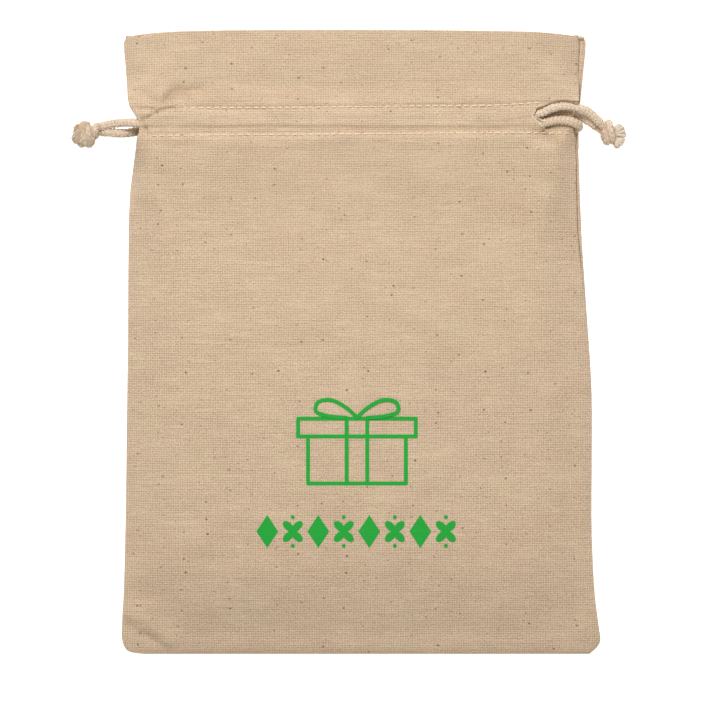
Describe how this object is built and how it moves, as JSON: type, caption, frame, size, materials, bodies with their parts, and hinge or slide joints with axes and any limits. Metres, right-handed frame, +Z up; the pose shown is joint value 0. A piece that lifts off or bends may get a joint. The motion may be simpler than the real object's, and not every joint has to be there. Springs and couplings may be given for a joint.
{
  "type": "drawstring gift sack",
  "caption": "Small cotton drawstring sack lying flat, with stitched tunnels across its header and a knotted drawcord leaving at each end.",
  "frame": {"origin": "below the middle of the sack's cloth, on the surface it lies on, drawcords left out", "axes": "+X across the sack towards the right-hand knot, +Y from the bottom seam to the open top, +Z up out of the front"},
  "size_m": [0.1805, 0.2013, 0.0134],
  "materials": {
    "cloth": "matt natural cotton, plain weave",
    "facing": "matt natural cotton, plain weave, inside face",
    "thread": "off-white sewing thread",
    "cord": "soft braided cotton"
  },
  "bodies": {
    "sack": {"front_panel": "cloth", "back_panel": "cloth", "front_facing": "facing", "back_facing": "facing", "left_side_seam": "thread", "right_side_seam": "thread", "bottom_seam": "thread", "front_upper_stitching": "thread", "front_lower_stitching": "thread", "back_upper_stitching": "thread", "back_lower_stitching": "thread"},
    "left_end": {"left_header_seam": "thread"},
    "right_end": {"right_header_seam": "thread", "right_mouth_bartack": "thread"},
    "left_cord": {"left_drawcord": "cord"},
    "right_cord": {"right_drawcord": "cord"},
    "left_tail": {"left_tail_front": "cord", "left_tail_back": "cord", "left_knot": "cord", "left_cord_ends": "cord"},
    "right_tail": {"right_tail_front": "cord", "right_tail_back": "cord", "right_knot": "cord", "right_upper_tuft": "cord", "right_lower_tuft": "cord"}
  },
  "joints": [
    {"name": "left_cord_pull", "type": "slide", "parent": "sack", "child": "left_cord", "axis": [-1, 0, 0], "range_m": [0, 0.026], "deforming": ["front_panel", "back_panel", "front_facing", "back_facing", "front_upper_stitching", "front_lower_stitching", "back_upper_stitching", "back_lower_stitching", "left_side_seam", "right_side_seam"]},
    {"name": "right_cord_pull", "type": "slide", "parent": "sack", "child": "right_cord", "axis": [1, 0, 0], "range_m": [0, 0.026]},
    {"name": "right_end_gather", "type": "slide", "parent": "sack", "child": "right_end", "axis": [-1, 0, 0], "range_m": [0, 0.026]},
    {"name": "left_end_gather", "type": "slide", "parent": "sack", "child": "left_end", "axis": [1, 0, 0], "range_m": [0, 0.026]},
    {"name": "left_tail_swing", "type": "hinge", "parent": "left_cord", "child": "left_tail", "pos_m": [-0.0725, 0.0693, 0.0067], "axis": [0, 0, 1], "range_deg": [-45, 45], "deforming": ["left_tail_front", "left_tail_back"]},
    {"name": "right_tail_swing", "type": "hinge", "parent": "right_cord", "child": "right_tail", "pos_m": [0.0717, 0.0723, 0.0067], "axis": [0, 0, 1], "range_deg": [-40, 40], "deforming": ["right_tail_front", "right_tail_back"]}
  ],
  "couplings": [
    {"joint": "right_end_gather", "follows": "left_cord_pull", "ratio": 1},
    {"joint": "left_end_gather", "follows": "right_cord_pull", "ratio": 1}
  ]
}
